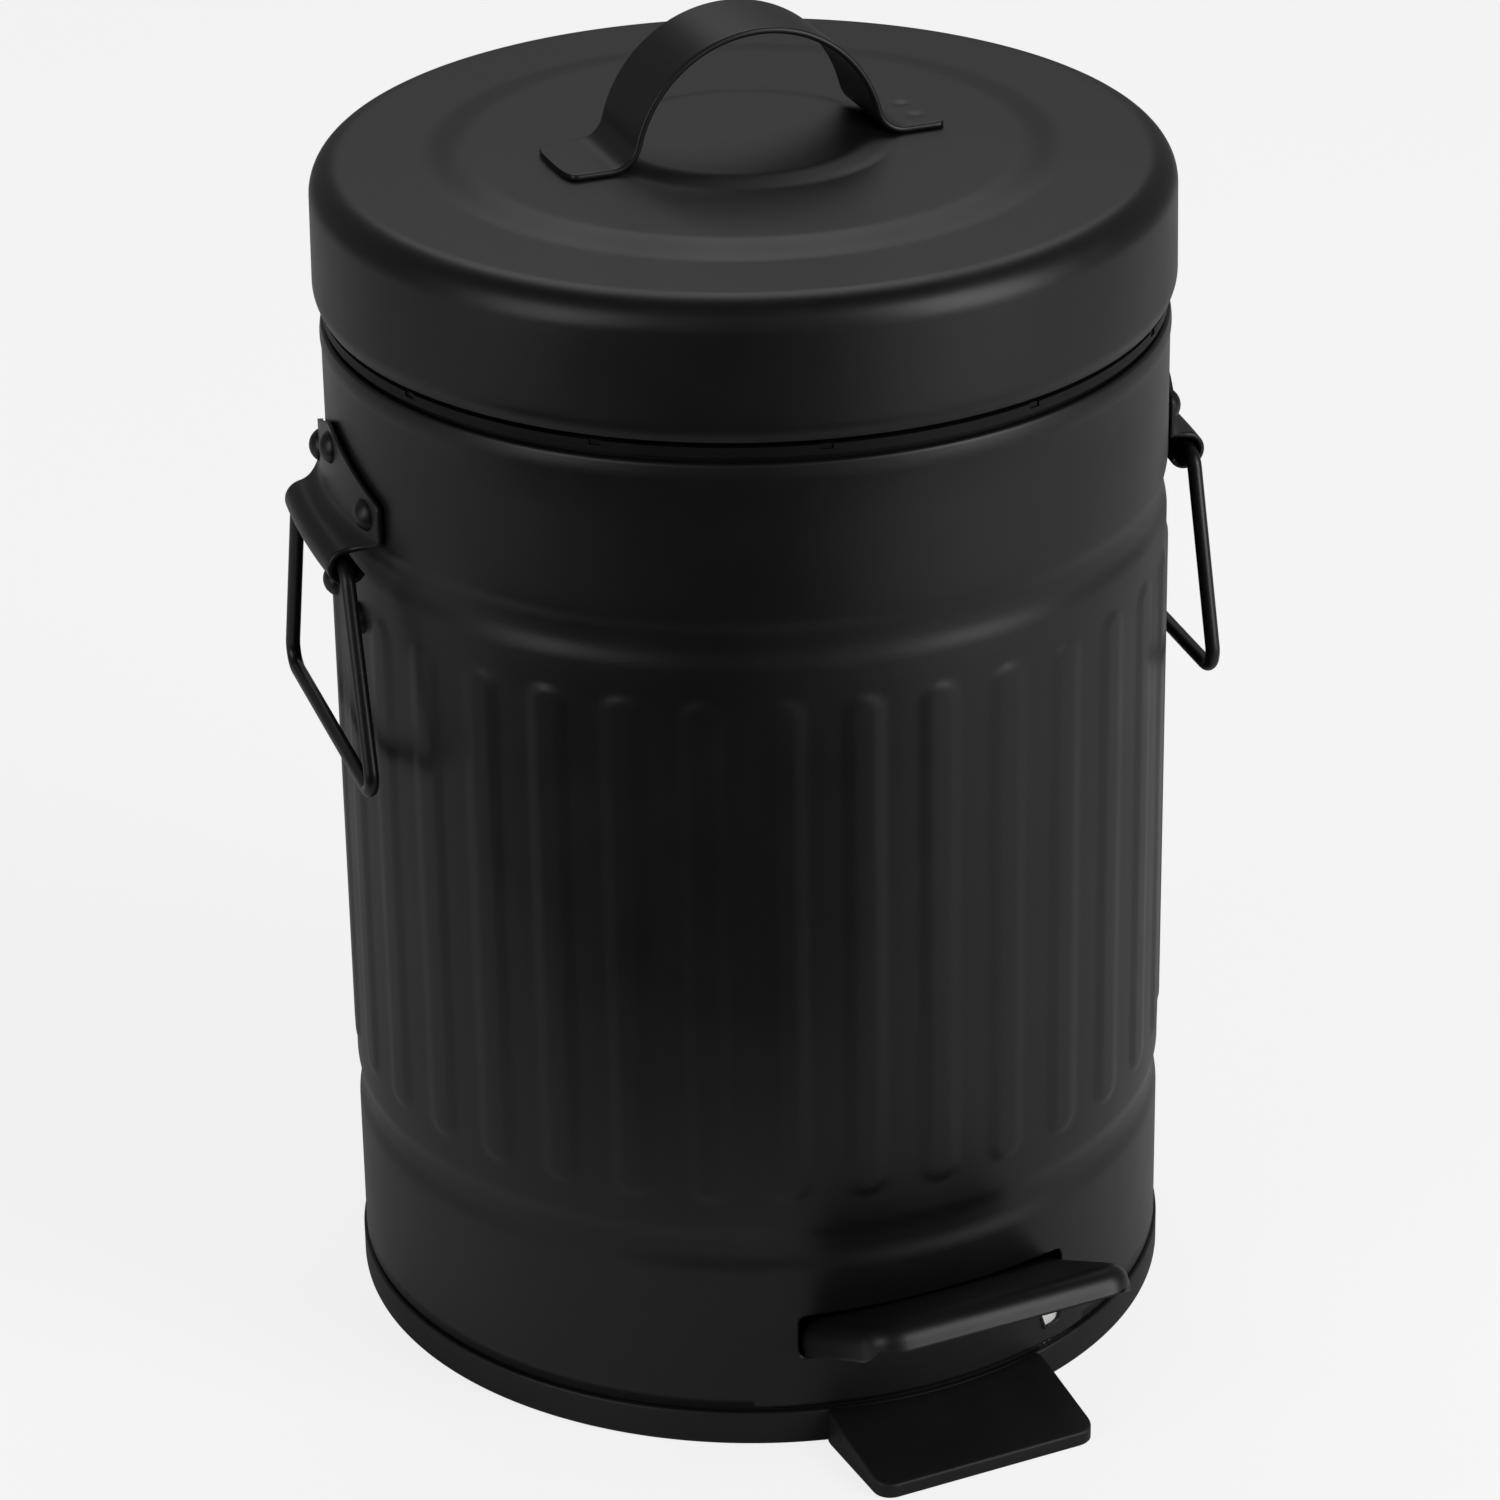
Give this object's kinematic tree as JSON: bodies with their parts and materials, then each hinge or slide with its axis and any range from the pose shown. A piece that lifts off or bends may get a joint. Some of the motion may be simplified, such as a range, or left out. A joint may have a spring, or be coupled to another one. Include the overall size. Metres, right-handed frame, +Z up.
{
  "type": "pedal bin",
  "caption": "Round fluted metal pedal bin with a hinged lid that a foot pedal lifts, a strap handle, hanging side bails and a removable inner pail.",
  "frame": {"origin": "on the drum's axis at the floor", "axes": "+Z up along the drum's axis, -Y to the front where the pedal is, +X to the right handle"},
  "size_m": [0.1892, 0.2075, 0.2755],
  "materials": {
    "black_coat": "satin black powder coat",
    "black_wire": "satin black powder coat on wire",
    "base_plastic": "fine moulded texture, matte black",
    "collar_plastic": "matte dark grey",
    "nylon": "natural light grey nylon",
    "bright_steel": "zinc plated steel",
    "pail_plastic": "matte black polypropylene"
  },
  "bodies": {
    "drum": {"body_shell": "black_coat", "base_ring": "base_plastic", "rim_ring": "collar_plastic", "slot_guide": "nylon", "hinge_bracket": "black_coat", "hinge_bracket_rivets": "black_coat", "hinge_pin": "bright_steel", "rod_guides": "nylon", "lever_axle": "bright_steel", "left_bracket": "black_coat", "left_bracket_rivets": "black_coat", "right_bracket": "black_coat", "right_bracket_rivets": "black_coat"},
    "lid": {"lid_shell": "black_coat", "lid_handle": "black_coat", "lid_hinge_leaf": "black_coat", "lid_hinge_rivets": "black_coat"},
    "treadle": {"pedal": "black_coat", "pedal_lever": "bright_steel", "pedal_rivets": "bright_steel"},
    "lift_rod": {"push_rod": "bright_steel", "rod_cap": "nylon"},
    "bail_left": {"left_bail": "black_wire"},
    "bail_right": {"right_bail": "black_wire"},
    "pail": {"inner_bucket": "pail_plastic"},
    "pail_bail": {"bucket_bail": "bright_steel"}
  },
  "joints": [
    {"name": "lid_hinge", "type": "hinge", "parent": "drum", "child": "lid", "pos_m": [0, 0.0902, 0.218], "axis": [-1, 0, 0], "range_deg": [0, 75]},
    {"name": "pedal_press", "type": "hinge", "parent": "drum", "child": "treadle", "pos_m": [0, -0.058, 0.015], "axis": [1, 0, 0], "range_deg": [0, 5.45]},
    {"name": "rod_lift", "type": "slide", "parent": "drum", "child": "lift_rod", "axis": [0, 0, 1], "range_m": [0, 0.0131]},
    {"name": "left_bail_swing", "type": "hinge", "parent": "drum", "child": "bail_left", "pos_m": [-0.08804, 0.01237, 0.178], "axis": [0.1392, 0.9903, 0], "range_deg": [0, 165]},
    {"name": "right_bail_swing", "type": "hinge", "parent": "drum", "child": "bail_right", "pos_m": [0.08804, -0.01237, 0.178], "axis": [-0.1392, -0.9903, 0], "range_deg": [0, 165]},
    {"name": "pail_lift", "type": "slide", "parent": "drum", "child": "pail", "axis": [0, 0, 1], "range_m": [0, 0.024]},
    {"name": "pail_bail_swing", "type": "hinge", "parent": "pail", "child": "pail_bail", "pos_m": [0, 0, 0.212], "axis": [-1, 0, 0], "range_deg": [0, 22]}
  ],
  "couplings": [
    {"joint": "pedal_press", "follows": "lid_hinge", "ratio": 0.0718},
    {"joint": "rod_lift", "follows": "lid_hinge", "m_per_rad": 0.009954}
  ]
}
